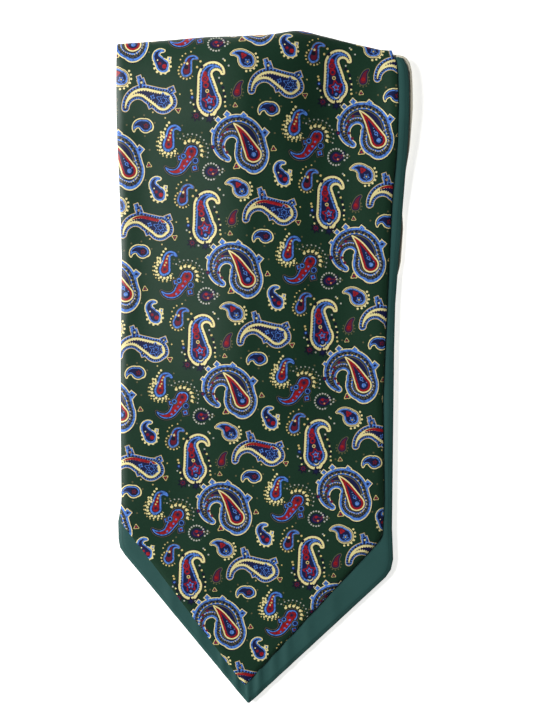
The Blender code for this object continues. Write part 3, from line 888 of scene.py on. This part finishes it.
class Drawing:
    """One paisley as a node group, which takes a place in steps of the repeat and a colour to draw over."""

    def __init__(self, motif, inks):
        board = self.board = Board(motif.name, group=True)
        self.inks = inks
        cell = board.take("Cell", "NodeSocketVector")
        self.colour = board.take("Under", "NodeSocketColor")
        right_steps, up_steps = repeat_steps(motif.across, motif.up)
        moved = board.vector("ADD", cell, (0.5 - right_steps, 0.5 - up_steps, 0.0))
        share = board.vector("SUBTRACT", board.vector("FRACTION", moved), (0.5, 0.5, 0.0))
        turn = math.radians(motif.turn)
        self.right = (motif.curl * math.cos(turn), -motif.curl * math.sin(turn))
        self.ahead = (math.sin(turn), math.cos(turn))
        self.x, self.y = (
            board.dot(share, (np.dot(STEP_RIGHT, axis), np.dot(STEP_UP, axis), 0.0))
            for axis in (self.right, self.ahead)
        )
        self.measure(motif)
        for knob in motif.knobs:
            self.outside = board.math("MINIMUM", self.outside, self.thorn(knob))
        self.bands(self.outside, motif.bands, motif.head)
        row = board.math("FLOOR", board.dot(moved, (0.0, 1.0, 0.0)))
        self.odd_row = board.math("FRACT", row * 0.5) > 0.25
        draw = {Mark: self.mark, Dots: self.dots, Beads: self.beads, Teeth: self.teeth, Streak: self.streak}
        for mark in motif.marks:
            draw[type(mark)](mark)
        board.give("Colour", "NodeSocketColor", self.colour)

    def measure(self, motif):
        """Works out how far a point lies outside the outline, below 0 inside, and how far along it.

        The body is measured along and across its spine: the straight stretch, then the circle, by the angle
        round its middle. Round the head the way along is the angle from its sides.
        """
        board, x, y = self.board, self.x, self.y
        off = x - motif.bend
        run = board.math("MAXIMUM", clamped(board, y, 0.0, motif.straight), (off > 0.0) * motif.straight)
        bent = y - run
        angle = board.math("ARCTAN2", off, bent) + math.pi / 2
        along = run + motif.bend * angle
        side = hypotenuse(board, off, bent) - motif.bend
        if motif.tighten:
            side = side + motif.bend * motif.tighten * angle
        on_body = clamped(board, along, 0.0, motif.length)
        narrow = (1.0 - on_body / motif.length) ** motif.taper
        body = hypotenuse(board, side, along - on_body) - (narrow * (motif.head - motif.tail) + motif.tail)
        self.from_head = hypotenuse(board, x, y)
        self.round_head = board.math("ARCTAN2", x, y)
        self.outside = board.math("MINIMUM", body, self.from_head - motif.head)
        behind = (math.pi / 2 - abs(self.round_head)) * motif.head
        self.along = board.mix_numbers(y < 0.0, along, behind)
        self.side = side

    def bands(self, outside, bands, reach):
        """Lays bands on, from the outermost in. reach is the depth of the deepest point."""
        first = bands[0].depth
        scale = (1.0 - STOP) / (reach - first)
        stops = [(0.0, CLEAR)]
        stops += [((band.depth - first) * scale + STOP, self.inks[band.colour]) for band in bands]
        place = STOP - first * scale - outside * scale
        ramp = self.board.node("ShaderNodeValToRGB", {0: place}, stops=stops)
        cover = Socket(self.board, ramp.socket.node.outputs["Alpha"])
        self.colour = self.board.mix(cover, self.colour, ramp)

    def turned(self, place):
        """A place that is given on the cloth, as right and ahead of the head's middle."""
        right = place.right * self.right[0] + place.up * self.right[1]
        ahead = place.right * self.ahead[0] + place.up * self.ahead[1]
        return right, ahead

    def distance(self, place):
        right, ahead = self.turned(place)
        return hypotenuse(self.board, self.x - right, self.y - ahead)

    def thorn(self, knob):
        """How far a point lies outside a thorn, which is a square on its corner."""
        right, ahead = self.turned(knob)
        return (abs(self.x - right) + abs(self.y - ahead)) * 0.8 - knob.radius

    def mark(self, mark):
        board = self.board
        share = self.distance(mark) / mark.radius
        if mark.petals:
            right, ahead = self.turned(mark)
            angle = board.math("ARCTAN2", self.x - right, self.y - ahead)
            share = share * (1.16 - 0.3 * board.math("COSINE", mark.petals * angle))
        self.bands(share - 1.0, [Band(1.0 - start, colour) for start, colour in mark.colours], 1.0)

    def dots(self, dots):
        nearest = None
        for right, up in dots.places:
            distance = self.distance(Knob(right, up, dots.radius))
            nearest = distance if nearest is None else self.board.math("MINIMUM", nearest, distance)
        self.colour = self.board.mix(nearest < dots.radius, self.colour, self.inks[dots.colour])

    def row(self, places, pitch, off, radius):
        """Where dots of a row are: places counts them along it, and off is the distance from its line."""
        nearest = self.board.math("FRACT", places) - 0.5
        return hypotenuse(self.board, nearest * pitch, off) < radius

    def beads(self, beads):
        board = self.board
        facing = math.radians(beads.facing)
        right, ahead = self.turned(Knob(math.sin(facing), math.cos(facing), 0.0))
        angle = board.math("WRAP", self.round_head - math.atan2(right, ahead), math.pi, -math.pi)
        places = angle * (beads.count / math.tau) + 0.5
        pitch = math.tau * beads.ring / beads.count
        dots = self.row(places, pitch, self.from_head - beads.ring, beads.radius)
        filled = dots * (abs(angle) < math.pi * beads.fill)
        self.colour = board.mix(filled, self.colour, self.inks[beads.colour])

    def streak(self, streak):
        middle, half = (streak.start + streak.end) / 2, (streak.end - streak.start) / 2
        across = abs(self.outside + streak.depth) / streak.radius
        length = abs(self.along - middle) / half
        shape = (hypotenuse(self.board, across, length) < 1.0) * (self.side > 0.0) * self.odd_row
        self.colour = self.board.mix(shape, self.colour, self.inks[streak.colour])

    def teeth(self, teeth):
        dots = self.row(self.along / teeth.pitch, teeth.pitch, self.outside + teeth.depth, teeth.radius)
        self.colour = self.board.mix(dots, self.colour, self.inks[teeth.colour])


def inks_of(colours):
    """The print's colours by name."""
    names = ("ground", "ink", "navy", "blue", "pale_blue", "cream", "gold", "pale", "red", "maroon", "olive")
    return {name: tuple(getattr(colours, name)) for name in names}


def silk_bump(board, cloth, rib, depth):
    """A twill's fine diagonal ribs, and a faint unevenness of the yarn."""
    turned = board.node("ShaderNodeMapping", {"Vector": cloth, "Rotation": (0.0, 0.0, math.radians(58))})
    ribs = board.node(
        "ShaderNodeTexWave",
        {"Vector": turned, "Scale": 0.314 / (rib * MM), "Distortion": 0.4, "Detail": 1.0},
        1,
        wave_type="BANDS",
        bands_direction="X",
    )
    slubs = board.node("ShaderNodeTexNoise", {"Vector": turned, "Scale": 900.0, "Detail": 2.0})
    height = ribs * 0.7 + slubs * 0.3
    return board.node("ShaderNodeBump", {"Strength": depth, "Distance": 0.0002, "Height": height})


def printed_silk(name, colours):
    """Soft silk twill with the paisley print, a little cloudy, with dark flecks in its blue and red."""
    board = Board(name)
    cloth = board.node("ShaderNodeUVMap", uv_map="cloth")
    inks = inks_of(colours)
    cell = repeat_cell(board, cloth)
    colour = inks["ground"]
    for motif in PAISLEYS:
        drawing = Drawing(motif, inks).board.tree
        colour = board.node("ShaderNodeGroup", {"Cell": cell, "Under": colour}, node_tree=drawing)
    cloudy = board.node("ShaderNodeTexNoise", {"Vector": cloth, "Scale": 26.0, "Detail": 3.0})
    grain = board.node("ShaderNodeTexNoise", {"Vector": cloth, "Scale": 900.0, "Detail": 3.0})
    parts = board.node("ShaderNodeSeparateColor", {0: colour})
    red, green, blue = (Socket(board, parts.socket.node.outputs[k]) for k in range(3))
    bluish = board.math("MULTIPLY", blue - red, 2.0, clamp=True)
    reddish = board.math("MULTIPLY", red - green - 0.2, 4.0, clamp=True)
    flecks = board.node("ShaderNodeTexNoise", {"Vector": cloth, "Scale": 700.0, "Detail": 1.0})
    broken = board.math("MULTIPLY", flecks - 0.48, 7.0, clamp=True) * (bluish + reddish)
    tone = 0.7 + cloudy * 0.2 + grain * 0.4
    worn = board.node("ShaderNodeHueSaturation", {"Value": tone * (1.0 - broken * 0.5), "Color": colour})
    return board.finish(
        Base_Color=worn,
        Roughness=0.4 + cloudy * 0.06,
        Specular_IOR_Level=0.35,
        Normal=silk_bump(board, cloth, 0.7, 0.25),
    )


def lining_silk(name, colour):
    """Plain silk, a little cloudy, with a darker stitch line along its sewn edges."""
    board = Board(name)
    cloth = board.node("ShaderNodeUVMap", uv_map="cloth")
    edge = board.node("ShaderNodeAttribute", output=2, attribute_name="edge")
    cloudy = board.node("ShaderNodeTexNoise", {"Vector": cloth, "Scale": 60.0, "Detail": 4.0})
    seam = abs(edge / MM - SEAM_IN) < SEAM_HALF
    value = 0.88 + cloudy * 0.24 - seam * 0.16
    tone = board.node("ShaderNodeHueSaturation", {"Value": value, "Color": tuple(colour)})
    return board.finish(
        Base_Color=tone,
        Roughness=0.42 + cloudy * 0.08,
        Specular_IOR_Level=0.35,
        Normal=silk_bump(board, cloth, 0.5, 0.3),
    )


def interlining_cloth(name, colour):
    """Matt plain-woven cloth."""
    board = Board(name)
    cloth = board.node("ShaderNodeUVMap", uv_map="cloth")
    weave = board.node("ShaderNodeTexNoise", {"Vector": cloth, "Scale": 1400.0, "Detail": 2.0})
    tone = board.node("ShaderNodeHueSaturation", {"Value": 0.85 + weave * 0.3, "Color": tuple(colour)})
    bump = board.node("ShaderNodeBump", {"Strength": 0.4, "Distance": 0.0003, "Height": weave})
    return board.finish(Base_Color=tone, Roughness=0.85 + weave * 0.1, Normal=bump)


def colour_property(label, description, default):
    return bpy.props.FloatVectorProperty(
        name=label, description=description, default=default, size=4, min=0.0, max=1.0, subtype="COLOR"
    )


class CravatCloth(bpy.types.PropertyGroup):
    """Sizes of the cloth pieces' own detail."""

    spacing: bpy.props.FloatProperty(
        name="Point spacing", description="Distance between points of the cloth, in millimetres", default=2.0
    )
    columns: bpy.props.IntProperty(
        name="Columns", description="Points across a blade", default=76, min=8
    )


class CravatColours(bpy.types.PropertyGroup):
    """Colours of the print, the lining and the interlining."""

    ground: colour_property("Ground", "The print's dark ground", rgb(28, 59, 42))
    ink: colour_property("Ink", "Fine outlines", rgb(20, 26, 44))
    navy: colour_property("Navy", "Dark fillings", rgb(26, 32, 76))
    blue: colour_property("Blue", "The paisleys' bands", rgb(90, 142, 232))
    pale_blue: colour_property("Pale blue", "Small flowers", rgb(120, 160, 216))
    cream: colour_property("Cream", "Rims and dots", rgb(250, 236, 168))
    gold: colour_property("Gold", "Fine scrolls", rgb(230, 206, 132))
    pale: colour_property("Pale", "Small beads", rgb(196, 196, 184))
    red: colour_property("Red", "Flowers and fillings", rgb(172, 30, 38))
    maroon: colour_property("Maroon", "Dark red fillings", rgb(112, 30, 50))
    olive: colour_property("Olive", "Faint outer lines", rgb(104, 100, 70))
    lining: colour_property("Lining", "The plain lining", rgb(50, 92, 88))
    interlining: colour_property("Interlining", "The natural cloth inside", rgb(236, 230, 208))


class CravatStage(bpy.types.PropertyGroup):
    """The camera, the light and the floor."""

    distance: bpy.props.FloatProperty(
        name="Camera distance", description="From the table to the camera", default=0.52, unit="LENGTH"
    )
    tilt: bpy.props.FloatProperty(
        name="Camera tilt", description="From straight down", default=math.radians(5.5), subtype="ANGLE"
    )
    lens: bpy.props.FloatProperty(
        name="Lens", description="Focal length for a frame 24 mm high, in millimetres", default=31.6
    )
    window: bpy.props.FloatProperty(
        name="Window", description="Power of the side light", default=28.0, unit="POWER"
    )
    sky: bpy.props.FloatProperty(
        name="Sky", description="Strength of the light from all round", default=2.1
    )


def cut_size(ply, sheet):
    """Width, length and area in metres of a ply's cut, from its point to the end of a surface of it."""
    lowest, length = max(ply.left[0].up, ply.right[0].up), float(sheet.cloth[-1, 0, 1])
    ups = np.linspace(lowest, length, CUT_STEPS)
    widths = (read(ply.right, ups) - read(ply.left, ups)) * float(ply.shares[0, -1] - ply.shares[0, 0])
    area = np.sum((widths[1:] + widths[:-1]) / 2 * np.diff(ups))
    return float(widths.max() * MM), float((length - lowest) * MM), float(area * MM * MM)


def add_window(scene, power):
    """A broad soft light from the left, turned to the middle of the cravat's base."""
    light = bpy.data.lights.new("window", "AREA")
    light.energy, light.shape, light.size = power, "SQUARE", WINDOW_SIZE
    window = bpy.data.objects.new("window", light)
    place = np.array(WINDOW_FROM)
    away = place / np.linalg.norm(place)
    window.location = place
    turn = math.atan2(away[0], -away[1])
    window.rotation_euler = (math.acos(away[2]), 0.0, turn)
    scene.collection.objects.link(window)


class CRAVAT_OT_front_blade(bpy.types.Operator):
    """Make the printed front blade, rolled over the fold"""

    bl_idname = "cravat.front_blade"
    bl_label = "Front blade"

    def execute(self, context):
        cloth, colours = context.scene.cravat_cloth, context.scene.cravat_colours
        ply = ply_of(FRONT_LEFT, FRONT_RIGHT, cloth.columns)
        upper = ply_sheet(ply, cloth.spacing, 2 * PLY, FRONT_END, 0.0, TUCK, edge_drop=FRONT_DROP)
        lower = ply_sheet(ply, cloth.spacing, 2 * PLY - WALL, FRONT_END, WALL, TUCK)
        piece = closed_cloth("printed_blade", upper, lower, round_rim(FRONT_BULGE))
        piece.data.materials.append(printed_silk("printed_silk_twill", colours))
        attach(piece, "root")
        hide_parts("front_blade")
        width, length, area = cut_size(ply, upper)
        return {"FINISHED"}


class CRAVAT_OT_lining(bpy.types.Operator):
    """Make the back blade's plain lining"""

    bl_idname = "cravat.lining"
    bl_label = "Back blade lining"

    def execute(self, context):
        cloth, colours = context.scene.cravat_cloth, context.scene.cravat_colours
        ply = ply_of(LINING_LEFT, LINING_RIGHT, cloth.columns)
        upper = ply_sheet(ply, cloth.spacing, PLY, LINING_END, ridges=PUCKERS, edge_drop=LINING_DROP)
        lower = ply_sheet(ply, cloth.spacing, GAP, LINING_END)
        piece = closed_cloth("teal_lining", upper, lower, round_rim(LINING_BULGE))
        piece.data.materials.append(lining_silk("lining_silk_plain", colours.lining))
        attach(piece, "root")
        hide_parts("back_lining")
        width, length, area = cut_size(ply, upper)
        return {"FINISHED"}


class CRAVAT_OT_interlining(bpy.types.Operator):
    """Make the strip of interlining that shows past the lining"""

    bl_idname = "cravat.interlining"
    bl_label = "Interlining"

    def execute(self, context):
        cloth, colours = context.scene.cravat_cloth, context.scene.cravat_colours
        ply = ply_of(outline_moved(LINING_LEFT, LAYER_STEP), STRIP_RIGHT, STRIP_COLUMNS, STRIP_SHARE)
        upper = ply_sheet(ply, cloth.spacing, 0.0, STRIP_END)
        lower = ply_sheet(ply, cloth.spacing, -WALL, STRIP_END)
        piece = closed_cloth("interlining_strip", upper, lower, round_rim(STRIP_BULGE))
        piece.data.materials.append(interlining_cloth("interlining_plain_weave", colours.interlining))
        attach(piece, "root")
        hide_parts("interlining_edge")
        width, length, area = cut_size(ply, upper)
        return {"FINISHED"}


class CRAVAT_OT_folded_blade(bpy.types.Operator):
    """Make the layers under the lining: the back blade's printed shell and the neckband folded onto it"""

    bl_idname = "cravat.folded_blade"
    bl_label = "Folded layers"

    def execute(self, context):
        cloth = context.scene.cravat_cloth
        left, right = outline_moved(LINING_LEFT, LAYER_STEP), outline_moved(LINING_RIGHT, -LAYER_STEP)
        ply = ply_of(left, right, cloth.columns * 2)
        upper, lower = stack_sheets(ply, cloth.spacing)
        piece = closed_cloth("folded_blade", upper, lower, layered_rim(LAYERS, LAYER_BULGE), open_end=False)
        piece.data.materials.append(bpy.data.materials["printed_silk_twill"])
        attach(piece, "root")
        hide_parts("folded_layers")
        width, length, area = cut_size(ply, upper)
        return {"FINISHED"}


class CRAVAT_OT_stage(bpy.types.Operator):
    """Make the floor, the light and the camera"""

    bl_idname = "cravat.stage"
    bl_label = "Stage"

    def execute(self, context):
        scene, settings = context.scene, context.scene.cravat_stage
        corners = np.array([(-1.0, -1.0, 0.0), (1.0, -1.0, 0.0), (1.0, 1.0, 0.0), (-1.0, 1.0, 0.0)])
        spread = corners * FLOOR_SIZE - ORIGIN - (0.0, 0.0, FLOOR_BELOW)
        floor = cloth_object("floor", spread, np.array([[0, 1, 2, 3]]))
        white = rgb(250, 250, 248)
        pale = Board("pale_floor").finish(
            Base_Color=white, Roughness=0.8, Emission_Color=white, Emission_Strength=FLOOR_GLOW
        )
        floor.data.materials.append(pale)

        scene.view_settings.view_transform = "Standard"
        world = bpy.data.worlds.new("soft sky")
        world.use_nodes = True
        board = Board("soft sky", tree=world.node_tree)
        direction = board.node("ShaderNodeTexCoord")
        upwards, right = board.dot(direction, (0.0, 0.0, 1.0)), board.dot(direction, (1.0, 0.0, 0.0))
        level = {"From Min": LOW_SKY, "From Max": HIGH_SKY, "To Min": settings.sky, "To Max": OVERHEAD}
        fade = board.node("ShaderNodeMapRange", {"Value": upwards, **level})
        side = clamped(board, 1.0 - SKY_SLANT * right, *SKY_SIDES)
        board.put(fade * side, world.node_tree.nodes["Background"].inputs["Strength"])
        scene.world = world
        add_window(scene, settings.window)

        aim = np.array(LOOK_AT)
        away = np.array([0.0, math.sin(settings.tilt), math.cos(settings.tilt)])
        lens = bpy.data.cameras.new("camera")
        lens.sensor_fit, lens.sensor_height, lens.lens = "VERTICAL", SENSOR_HEIGHT, settings.lens
        camera = bpy.data.objects.new("camera", lens)
        camera.location = aim + settings.distance * away
        camera.rotation_euler = (-settings.tilt, 0.0, 0.0)
        scene.collection.objects.link(camera)
        scene.camera = camera
        return {"FINISHED"}


class CRAVAT_PT_panel(bpy.types.Panel):
    """Lists the cravat's pieces"""

    bl_idname = "CRAVAT_PT_panel"
    bl_label = "Silk cravat"
    bl_space_type = "VIEW_3D"
    bl_region_type = "UI"
    bl_category = "Cravat"

    def draw(self, context):
        for piece in PIECES:
            self.layout.operator(piece.bl_idname)
        for group in (context.scene.cravat_cloth, context.scene.cravat_colours, context.scene.cravat_stage):
            for name in group.bl_rna.properties.keys()[1:]:
                self.layout.prop(group, name)


PIECES = (
    CRAVAT_OT_front_blade,
    CRAVAT_OT_lining,
    CRAVAT_OT_interlining,
    CRAVAT_OT_folded_blade,
    CRAVAT_OT_stage,
)
CLASSES = (CravatCloth, CravatColours, CravatStage, *PIECES, CRAVAT_PT_panel)


def register():
    for made in CLASSES:
        bpy.utils.register_class(made)
    bpy.types.Scene.cravat_cloth = bpy.props.PointerProperty(type=CravatCloth)
    bpy.types.Scene.cravat_colours = bpy.props.PointerProperty(type=CravatColours)
    bpy.types.Scene.cravat_stage = bpy.props.PointerProperty(type=CravatStage)


def unregister():
    del bpy.types.Scene.cravat_stage
    del bpy.types.Scene.cravat_colours
    del bpy.types.Scene.cravat_cloth
    for made in reversed(CLASSES):
        bpy.utils.unregister_class(made)


def main():
    register()
    for piece in PIECES:
        group, name = piece.bl_idname.split(".")
        getattr(getattr(bpy.ops, group), name)()
    bpy.context.view_layer.update()


if __name__ == "__main__":
    main()
